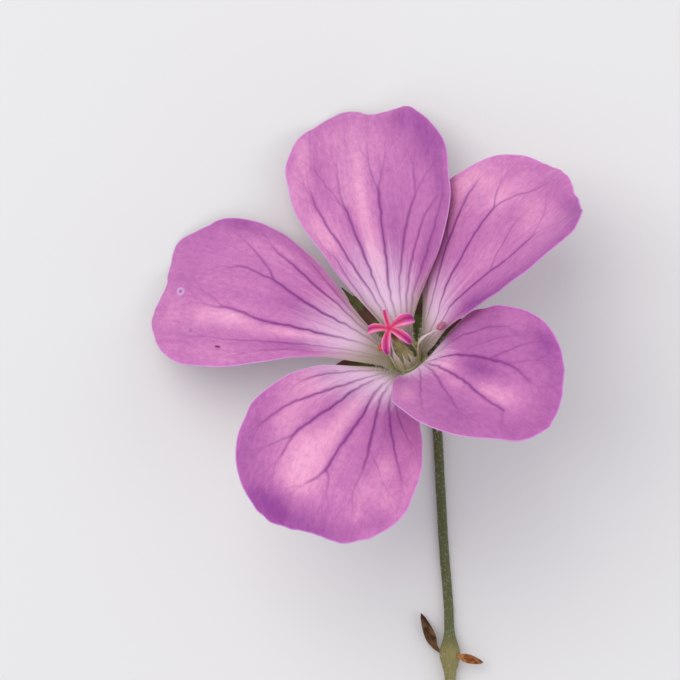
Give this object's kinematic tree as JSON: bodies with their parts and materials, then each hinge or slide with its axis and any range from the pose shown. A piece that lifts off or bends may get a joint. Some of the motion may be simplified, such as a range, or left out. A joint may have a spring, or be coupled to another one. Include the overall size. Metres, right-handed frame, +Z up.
{
  "type": "hardy geranium bloom",
  "caption": "Open pink hardy geranium bloom with veined petals, sepals, style and stamens, picked with its jointed stalk and lying face up.",
  "frame": {"origin": "middle of the footprint, on the surface that the bloom lies on", "axes": "+Z up from the surface, +Y from the cut end of the stalk towards the tip of the top petal, +X towards the right petal"},
  "size_m": [0.0384, 0.0564, 0.025],
  "materials": {
    "petal": "satin",
    "sepal": "matte",
    "stalk": "matte",
    "bract": "matte",
    "pistil": "matte",
    "stigma": "satin",
    "filament": "satin",
    "anther": "matte"
  },
  "bodies": {
    "root": {"petal_top": "petal", "petal_upper_right": "petal", "petal_right": "petal", "petal_bottom": "petal", "petal_upper_left": "petal", "sepal_1": "sepal", "sepal_2": "sepal", "sepal_3": "sepal", "sepal_4": "sepal", "sepal_5": "sepal", "stalk": "stalk", "bract_left": "bract", "bract_right": "bract", "pistil": "pistil", "stigma": "stigma", "filaments": "filament", "anther_right": "anther", "anther_left": "anther"}
  },
  "joints": []
}
